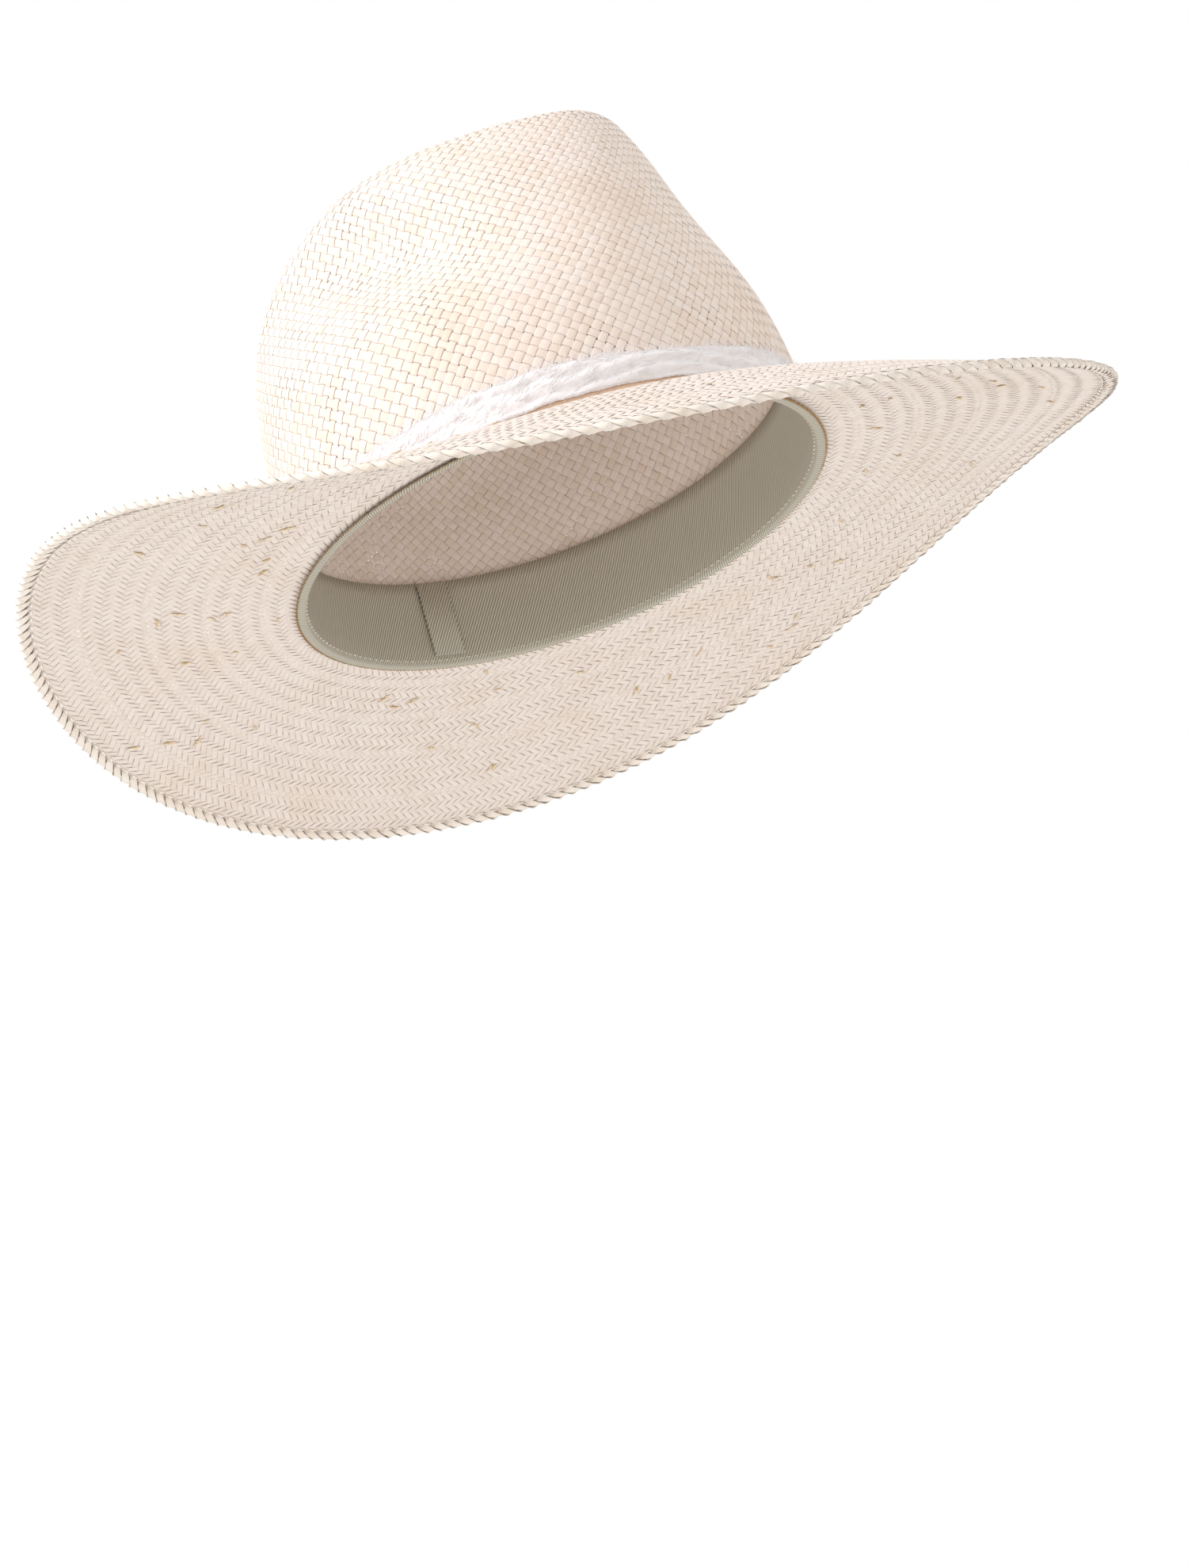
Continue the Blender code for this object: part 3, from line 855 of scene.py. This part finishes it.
def join_material():
    """The coarse ochre skin of a straw where two are joined."""
    material, tree, shader = new_material("ochre_straw_joins", 0.7)
    place = add_node(tree, "ShaderNodeTexCoord")
    stain = add_node(tree, "ShaderNodeTexNoise", {"Vector": place.outputs["Object"]},
                     {"Scale": JOIN_GRAIN, "Detail": 3.0})
    shades = add_node(tree, "ShaderNodeValToRGB", {0: stain.outputs["Fac"]})
    shades.color_ramp.elements[0].position = 0.35
    shades.color_ramp.elements[0].color = linear("#C9A772")
    shades.color_ramp.elements[1].position = 0.65
    shades.color_ramp.elements[1].color = linear("#E9DAC1")
    tree.links.new(shades.outputs[0], shader.inputs["Base Color"])
    return material


def brim_joins():
    """Two short curled ends at each join, along one of the strand families and across it."""
    own = np.random.default_rng(41)
    steps = np.linspace(-0.5, 0.5, 7)
    runs = []
    for _ in range(JOINS):
        angle = np.full(7, own.uniform(0, 2 * math.pi))
        share = np.full(7, own.uniform(0.04, 0.86) ** 0.8)
        side = -1 if own.uniform() < 0.7 else 1
        up = brim_up(angle, share) * side
        out_way = unit(brim_surface(angle, share + NUDGE) - brim_surface(angle, share))
        round_way = np.cross(up, out_way)
        lean = own.choice([-1, 1]) * math.pi / 4
        for part in range(2 if own.uniform() < 0.6 else 1):
            turn = lean + own.normal(0, 0.3) + part * 0.7
            long = JOIN_LENGTH * own.uniform(0.45, 1.35) * (0.6 if part else 1.0)
            bend = own.normal(0, 0.35)
            along = steps * long
            across = bend * long * (steps * 2) ** 2 / 4
            points = brim_surface(angle, share)
            points = points + out_way * (along * math.cos(turn) - across * math.sin(turn))[:, None]
            points = points + round_way * (along * math.sin(turn) + across * math.cos(turn))[:, None]
            lift = BRIM_STRAW * 0.36 + own.uniform(0.1, 0.5) * 0.001 * (steps + 0.5) ** 2
            wide = JOIN_WIDTH * own.uniform(0.6, 1.2) * np.array([0.3, 0.8, 1.0, 1.1, 0.9, 0.6, 0.2])
            runs.append((points, up, lift, wide, np.full(7, own.uniform())))
    return runs


joins = grown("brim_straw_joins", guide_mesh("join_guide", brim_joins()), STRANDS,
              {"Thickness": 0.35, "Material": join_material()})
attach(joins, "root")
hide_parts("brim")


# ---- Brim edge ----
# The straws are turned back round a wire at the edge and plaited into a firm rope-like hem.
# Three flat straws wind round a straw core; running stitches on both faces hold the turned part.

HEM_WIDTH = 0.0044
HEM_HALF_HEIGHT = 0.00095
HEM_TURNS = 75
HEM_STRAWS = 3
HEM_SAMPLES = 10
HEM_STRAW = 0.0029
HEM_FLATNESS = 0.13


def edge_frame(angle):
    """At the brim's edge: the point, the way inwards, and the way up."""
    point = brim_surface(angle, 1.0)
    inwards = unit(brim_surface(angle, 1.0 - NUDGE) - point)
    return point, inwards, brim_up(angle, 1.0)


def hem_point(angle, turn, grow):
    """A point on the hem's oval section, with its outward normal."""
    point, inwards, up = edge_frame(angle)
    half = HEM_WIDTH / 2
    wide, tall = half - 0.0004 + grow, HEM_HALF_HEIGHT + grow
    c, s = np.cos(turn)[..., None], np.sin(turn)[..., None]
    place = point + inwards * (half + c * wide) + up * s * tall
    return place, unit(inwards * c / wide + up * s / tall)


core_angles = turns(720)
core_sides = np.arange(12) / 12 * 2 * math.pi
core = np.stack([hem_point(core_angles, np.full(720, side), -0.0003)[0] for side in core_sides], axis=1)
hem_core = swept("hem_core", core, True, BRIM_STRAW_LOOK, 1.0)
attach(hem_core, "root")
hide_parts("brim_hem")

hem_runs = []
for k in range(HEM_STRAWS):
    own = np.random.default_rng(60 + k)
    along = np.arange(HEM_TURNS * HEM_SAMPLES + 1)
    angle = along / along[-1] * 2 * math.pi
    base = evenly(lambda a: brim_surface(a, 1.0), 0.0016)
    angle = np.interp(along / along[-1], np.arange(len(base) + 1) / len(base),
                      np.append(base, 2 * math.pi))
    turn = (along / HEM_SAMPLES + k / HEM_STRAWS) * 2 * math.pi
    points, normal = hem_point(angle, turn, 0.0)
    wobble = drift(points, 0.004, 1.0, k + 20)
    breadth = HEM_STRAW * (1 + 0.12 * wobble)
    rise = 0.00012 * drift(points, 0.003, 1.0, k + 30)
    tone = 0.5 + 0.5 * drift(points, 0.010, 1.0, k + 40)
    hem_runs.append((points, normal, rise, breadth, np.clip(tone, 0, 1)))
HEM_LOOK = straw_material("plaited_hem_straw", "#F1E6DB", "#E8DACB", "#D3B78E", 0.55)
hem_straws = grown("hem_straws", guide_mesh("hem_guide", hem_runs), STRANDS,
                   {"Thickness": HEM_FLATNESS, "Material": HEM_LOOK})
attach(hem_straws, "root")
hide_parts("brim_hem")

HEM_STITCH_STEP = 0.0053
HEM_STITCH = 0.0030
white_thread = thread_material("white_hem_thread", "#FBF8F2")
HEM_STITCH_IN = 0.0004
HEM_STITCH_PROUD = 0.0001


def hem_line_on(side):
    """The stitches' line just inside the hem, on the brim's top or its underside."""
    def line(angle):
        point, inwards, up = edge_frame(angle)
        lift = up * side * (BRIM_STRAW / 2 + HEM_STITCH_PROUD)
        return point + inwards * (HEM_WIDTH + HEM_STITCH_IN) + lift
    return line


for name, node, side in (("hem_stitches_top", "hem_thread_top", 1),
                         ("hem_stitches_under", "hem_thread_under", -1)):
    hem_line = hem_line_on(side)
    places = evenly(hem_line, HEM_STITCH_STEP)
    stitches = grown(name, point_mesh("hem_stitch_guide", hem_line(places),
                                      tangents(hem_line, places), HEM_STITCH),
                     STITCHES, {"Width": THREAD, "Seed": 17, "Material": white_thread})
    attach(stitches, "root")
    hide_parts(node)


# ---- Edge wire ----
# A thin steel wire inside the hem keeps the brim's wave. It is out of sight, so it stays as built.

SCRATCH_GRAIN = 2000.0


def wire_material():
    """Drawn steel wire with faint lengthwise scratches."""
    material, tree, shader = new_material("drawn_steel_wire", 0.4)
    shader.inputs["Base Color"].default_value = linear("#8B8B8D")
    shader.inputs["Metallic"].default_value = 1.0
    place = add_node(tree, "ShaderNodeTexCoord")
    marks = add_node(tree, "ShaderNodeTexNoise", {"Vector": place.outputs["Object"]},
                     {"Scale": SCRATCH_GRAIN})
    rough = add_node(tree, "ShaderNodeMapRange", {"Value": marks.outputs["Fac"]},
                     {"To Min": 0.3, "To Max": 0.5})
    tree.links.new(rough.outputs[0], shader.inputs["Roughness"])
    return material


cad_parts["brim_wire"].material_slots[0].material = wire_material()


# ---- Hat band ----
# A torn strip of white cotton laid round the crown's foot in soft lengthwise folds.
# Its edges are raw, so they waver and shed short fibres; the ends lap at the wearer's left.

COTTON = 0.0009
BAND_HEIGHT = 0.0120
BAND_SWELL = 0.0012
BAND_SWELL_AT = -0.60
BAND_DIP = 0.0026
BAND_DIP_SPREAD = 0.35
BAND_LAP_FROM = 1.40
BAND_LAP_TO = 1.85
LAP_INSET = 0.0008
BAND_OFF = GAP + TAPE + GAP
BAND_STATIONS = 720
BAND_ROWS = 14
BAND_RAISE = 0.0004
FOLD_DEPTH = 0.0009
BAND_LEAN = 0.0010


def band_top(angle):
    swell = BAND_SWELL * np.cos(angle - BAND_SWELL_AT)
    return TAPE_SHOWING + BAND_HEIGHT + swell - BAND_DIP * bump(folded(angle), BAND_DIP_SPREAD)


def band_fold(angle, share, seed):
    """How far the folds lift the cloth: long ridges that drift slowly up and down the band."""
    lifts = []
    for a, v in zip(np.ravel(angle), np.ravel(share)):
        wander = noise.noise(Vector((math.cos(a) * 2.5, math.sin(a) * 2.5, seed))) * 1.1
        tight = noise.noise(Vector((math.cos(a) * 9, math.sin(a) * 9, seed + 5))) * 0.25
        wave = math.sin((v * 2.2 + wander + tight) * 2 * math.pi)
        fine = noise.noise(Vector((math.cos(a) * 14, math.sin(a) * 14, v * 7 + seed)))
        lifts.append(0.55 + 0.45 * wave * abs(wave) ** 0.4 + 0.25 * fine)
    return np.reshape(lifts, np.shape(angle))


def fray(angle, seed):
    """The raw edge's unevenness, from slow sway to single threads."""
    return np.array([0.0005 * noise.noise(Vector((math.cos(a) * 12, math.sin(a) * 12, seed)))
                     + 0.0003 * noise.noise(Vector((math.cos(a) * 90, math.sin(a) * 90, seed)))
                     for a in np.ravel(angle)]).reshape(np.shape(angle))


def band_outline(angle, low, high, off, seed):
    """Closed outlines of the folded cloth: up the inside, over, and down the outside."""
    ring = []
    bottom = low + fray(angle, seed)
    top = high + fray(angle, seed + 9)
    shares = np.linspace(0, 1, BAND_ROWS)
    lifts = [band_fold(angle, np.full(angle.shape, v), seed) for v in shares]
    ease = [min(1.0, 6 * min(v, 1 - v) + 0.25) for v in shares]
    for v, lift, hold in zip(shares, lifts, ease):
        out = off - BAND_LEAN * v * v + FOLD_DEPTH * lift * hold * 0.9
        ring.append(crown_at(angle, bottom + (top - bottom) * v, out))
    for v, lift, hold in list(zip(shares, lifts, ease))[::-1]:
        out = off - BAND_LEAN * v * v + FOLD_DEPTH * lift * hold + COTTON * 0.55
        ring.append(crown_at(angle, bottom + (top - bottom) * v, out))
    return np.stack(ring, axis=1)


white_cotton = cloth_material("white_torn_cotton", "#FAF7F7", "#EEE8E7", 0.0005, 0.35)
band_angles = turns(BAND_STATIONS)
hat_band = swept("hat_band_cloth",
                 band_outline(band_angles, TAPE_SHOWING + BAND_RAISE, band_top(band_angles),
                              BAND_OFF, 2),
                 True, white_cotton, 1.0)
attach(hat_band, "root")
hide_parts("hat_band")

EDGE_FIBRES = 4200
FACE_FIBRES = 2600
FIBRE = 0.00013


def band_fibres(count, edge, seed):
    """Guide paths of loose fibres: shed from the raw edges, or brushed slantwise over the face."""
    own = np.random.default_rng(seed)
    runs = []
    steps = np.linspace(0, 1, 5)
    for _ in range(count):
        angle = own.uniform(0, 2 * math.pi)
        tall = float(band_top(np.array(angle))) - TAPE_SHOWING
        if edge:
            top = own.uniform() < 0.68
            long = own.uniform(0.0010, 0.0030) * (1.0 if own.uniform() < 0.9 else 1.6)
            lean = own.normal(0.6, 0.7)
            height = TAPE_SHOWING + (tall - 0.0008 if top else 0.0011)
            rising = own.uniform(0.0, 0.7) * long
            way = 1 if top else -0.45
        else:
            long = own.uniform(0.0020, 0.0055)
            lean = own.normal(1.05, 0.30)
            height = TAPE_SHOWING + tall * own.uniform(0.12, 0.85)
            rising = own.uniform(0.1, 0.5) * 0.0008
            way = 1
        curl = own.normal(0, 0.25)
        heights = height + way * long * (steps * math.cos(lean) + curl * steps ** 2)
        angles = angle + long * steps * math.sin(lean) / HEAD_HALF_LENGTH
        share = np.clip((heights - TAPE_SHOWING) / tall, 0.0, 1.0)
        skin = BAND_OFF + COTTON * 0.55 + FOLD_DEPTH * band_fold(angles, share, 2)
        hold = np.clip(6 * np.minimum(share, 1 - share) + 0.25, 0, 1)
        outs = BAND_OFF + COTTON * 0.55 + (skin - BAND_OFF - COTTON * 0.55) * hold
        outs = outs + (rising * steps ** 2 if edge else rising * np.sin(steps * math.pi) + 0.00005)
        outs = outs - BAND_LEAN * share ** 2
        points = crown_at(angles, np.maximum(heights, 0.0002), outs)
        lie = crown_normal(angles, np.full(5, 0.1))
        thick = FIBRE * own.uniform(0.7, 1.4) * np.array([1.0, 1.0, 0.9, 0.7, 0.4])
        runs.append((points, lie, np.zeros(5), thick, np.full(5, 0.5)))
    return runs


fringe_guide = guide_mesh("fringe_guide", band_fibres(EDGE_FIBRES, True, 71)
                          + band_fibres(FACE_FIBRES, False, 72))
fringe = grown("hat_band_fringe", fringe_guide, STRANDS, {"Thickness": 0.9, "Material": white_cotton})
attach(fringe, "root")
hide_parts("hat_band")

lap_angles = np.linspace(BAND_LAP_FROM, BAND_LAP_TO, 60)
LAP_OFF = BAND_OFF + FOLD_DEPTH + COTTON + GAP
band_lap = swept("hat_band_lap_cloth",
                 band_outline(lap_angles, TAPE_SHOWING + LAP_INSET, band_top(lap_angles) - LAP_INSET,
                              LAP_OFF, 5),
                 False, white_cotton, 1.0)
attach(band_lap, "root")
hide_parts("hat_band_lap")

TACK_LENGTH = 0.0050
TACK_MARGIN = 0.06
for number, angle in ((1, BAND_LAP_FROM + TACK_MARGIN), (2, BAND_LAP_TO - TACK_MARGIN)):
    middle = (TAPE_SHOWING + float(band_top(angle))) / 2
    spot = np.array([angle])
    low = crown_at(spot, middle - TACK_LENGTH / 2, LAP_OFF + FOLD_DEPTH)
    high = crown_at(spot, middle + TACK_LENGTH / 2, LAP_OFF + FOLD_DEPTH)
    out = crown_normal(spot, np.array([0.1])) * COTTON * 0.5
    tack = grown(f"band_tack_stitch_{number}",
                 point_mesh("tack_guide", (low + high) / 2 + out, unit(high - low), TACK_LENGTH),
                 STITCHES, {"Width": THREAD, "Seed": number, "Material": white_thread})
    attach(tack, "root")
    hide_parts(f"band_tack_{number}")


# ---- Sweatband ----
# A ribbed grosgrain ribbon stands inside the crown's foot, and its lower edge turns out under
# the brim as a narrow lip. Ochre thread whips the lip to the straw; the ends lap at the back.

SWEATBAND_HEIGHT = 0.0300
SWEATBAND_LAP_HALF = 0.07
SWEATBAND_STATIONS = 600
RIB = 0.0011


def lip_point(angle, inset, lift):
    share = np.full(np.shape(angle), inset / BRIM_REACH)
    return brim_surface(angle, share) + brim_up(angle, share) * lift


def ribbon_material():
    """Grey-beige grosgrain: close ribs across the ribbon, with painted shade darkening the grooves between
    them.
    """
    material, tree, shader = new_material("grosgrain_ribbon", 0.85)
    place = add_node(tree, "ShaderNodeTexCoord")
    parts = add_node(tree, "ShaderNodeSeparateXYZ", {0: place.outputs["UV"]})
    slant = add_node(tree, "ShaderNodeMath", {0: parts.outputs["Y"]}, {1: 0.6}, operation="MULTIPLY")
    ribs = add_node(tree, "ShaderNodeMath", {0: parts.outputs["X"], 1: slant.outputs[0]}, operation="ADD")
    angle = add_node(tree, "ShaderNodeMath", {0: ribs.outputs[0]}, {1: 2 * math.pi / RIB},
                     operation="MULTIPLY")
    wave = add_node(tree, "ShaderNodeMath", {0: angle.outputs[0]}, operation="SINE")
    # Painted shade: the wave that raises the ribs also makes the colour dark in the grooves and light on
    # the crests.
    shade = add_node(tree, "ShaderNodeMapRange", {"Value": wave.outputs[0]}, {"From Min": -1.0})
    mixed = add_node(tree, "ShaderNodeMix", {0: shade.outputs[0]}, data_type="RGBA")
    mixed.inputs[6].default_value = linear("#8F897A")
    mixed.inputs[7].default_value = linear("#CFC8B8")
    tree.links.new(mixed.outputs[2], shader.inputs["Base Color"])
    relief = add_node(tree, "ShaderNodeBump", {"Height": wave.outputs[0]},
                      {"Strength": 0.6, "Distance": 0.00015})
    tree.links.new(relief.outputs[0], shader.inputs["Normal"])
    return material


def sweatband_outline(angle):
    under = -(BRIM_STRAW / 2 + GAP)
    skin = -(CROWN_STRAW + 2 * GAP)
    tall = SWEATBAND_HEIGHT - CROWN_FOOT
    lip = [lip_point(angle, RIBBON + SWEATBAND_LIP * f, under) for f in (0.0, 0.5, 0.9)]
    lip += [lip_point(angle, RIBBON + SWEATBAND_LIP, under - RIBBON / 2)]
    lip += [lip_point(angle, RIBBON + SWEATBAND_LIP * f, under - RIBBON) for f in (0.9, 0.5, 0.0)]
    lip += [lip_point(angle, 0.0003, under - RIBBON * 0.6)]
    inside = [crown_at(angle, tall * i / 6, skin - RIBBON) for i in range(7)]
    outside = [crown_at(angle, tall * i / 6, skin) for i in range(6, -1, -1)]
    return np.stack(lip + inside + outside, axis=1)


grosgrain = ribbon_material()
sweatband = swept("sweatband_ribbon", sweatband_outline(turns(SWEATBAND_STATIONS)), True, grosgrain, 1.0)
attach(sweatband, "root")
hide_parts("sweatband")

lap_spots = np.linspace(math.pi - SWEATBAND_LAP_HALF, math.pi + SWEATBAND_LAP_HALF, 12)
lap_inner = -(CROWN_STRAW + RIBBON + 3 * GAP)
sweatband_lap = swept("sweatband_lap_ribbon",
                      upright_strip(lap_spots, 0.0004, SWEATBAND_HEIGHT - CROWN_FOOT - LAP_INSET,
                                    lap_inner - RIBBON, RIBBON),
                      False, grosgrain, 1.0)
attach(sweatband_lap, "root")
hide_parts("sweatband_lap")

WHIP_STEP = 0.0016
WHIP_LENGTH = 0.0023
ochre_thread = thread_material("ochre_whip_thread", "#A5814F")


def whip_line(angle):
    return lip_point(angle, RIBBON + SWEATBAND_LIP, -(BRIM_STRAW / 2 + GAP + RIBBON / 2))


places = evenly(whip_line, WHIP_STEP)
outwards = unit(np.cross(tangents(whip_line, places), brim_up(places, np.full(len(places), 0.03))))
whip_aims = tangents(whip_line, places) * 0.75 + outwards * 0.65
whips = grown("sweatband_whip_stitches",
              point_mesh("whip_guide", whip_line(places) - brim_up(places, 0.03) * 0.0001,
                         unit(whip_aims), WHIP_LENGTH),
              STITCHES, {"Width": THREAD, "Seed": 23, "Material": ochre_thread})
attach(whips, "root")
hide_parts("sweatband_thread")


# ---- Camera, light and floor ----

CAMERA_TURN = math.radians(-29.46)
CAMERA_RISE = math.radians(-16.64)
CAMERA_ROLL = math.radians(-16.96)
CAMERA_DISTANCE = 1.1325
CAMERA_ASIDE = 0.01135
CAMERA_BELOW = -0.08259
LENS = 78.4


def aim_camera():
    back = Vector((math.sin(CAMERA_TURN) * math.cos(CAMERA_RISE),
                   -math.cos(CAMERA_TURN) * math.cos(CAMERA_RISE), math.sin(CAMERA_RISE)))
    level = Vector((math.cos(CAMERA_TURN), math.sin(CAMERA_TURN), 0))
    upright = back.cross(level)
    right = level * math.cos(CAMERA_ROLL) + upright * math.sin(CAMERA_ROLL)
    up = upright * math.cos(CAMERA_ROLL) - level * math.sin(CAMERA_ROLL)
    camera = bpy.data.objects.new("camera", bpy.data.cameras.new("camera"))
    camera.data.lens = LENS
    camera.data.sensor_fit = "VERTICAL"
    camera.data.sensor_height = 36
    camera.data.clip_start = 0.01
    place = right * CAMERA_ASIDE + up * CAMERA_BELOW + back * CAMERA_DISTANCE
    turn = Matrix([right, up, back]).transposed().to_4x4()
    camera.matrix_world = Matrix.Translation(place) @ turn
    bpy.context.collection.objects.link(camera)
    bpy.context.scene.camera = camera


aim_camera()

SKY = "#FFFFFF"
SKY_STRENGTH = 1.0
KEY_SIZE = 0.6
KEY_POWER = 26.0
KEY_SPOT = (-1.75, 0.75, 0.25)
KEY_COLOUR = (0.97, 0.98, 1.03)
FLOOR_SIZE = 30.0
FLOOR_LEVEL = -0.90


def light_the_room():
    """White surroundings and one broad soft light above the camera's left."""
    world = bpy.data.worlds.new("studio")
    bpy.context.scene.world = world
    world.use_nodes = True
    sky = world.node_tree.nodes["Background"]
    sky.inputs["Color"].default_value = linear(SKY)
    sky.inputs["Strength"].default_value = SKY_STRENGTH
    view = bpy.context.scene.camera.matrix_world.to_3x3()
    aside, above, near = KEY_SPOT
    key = bpy.data.lights.new("key_light", "AREA")
    key.shape = "DISK"
    key.size = KEY_SIZE
    key.energy = KEY_POWER
    key.color = KEY_COLOUR
    lamp = bpy.data.objects.new("key_light", key)
    lamp.location = view @ Vector((aside, above, near))
    lamp.rotation_euler = lamp.location.to_track_quat("Z", "Y").to_euler()
    bpy.context.collection.objects.link(lamp)


def lay_floor():
    mesh = bpy.data.meshes.new("floor")
    half = FLOOR_SIZE / 2
    mesh.from_pydata([(-half, -half, 0), (half, -half, 0), (half, half, 0), (-half, half, 0)], [],
                     [(0, 1, 2, 3)])
    floor = bpy.data.objects.new("floor", mesh)
    floor.location.z = FLOOR_LEVEL
    bpy.context.collection.objects.link(floor)
    material, tree, shader = new_material("pale_floor", 0.9)
    shader.inputs["Base Color"].default_value = linear("#F4F3F1")
    mesh.materials.append(material)


light_the_room()
lay_floor()
bpy.context.scene.view_settings.view_transform = "Standard"
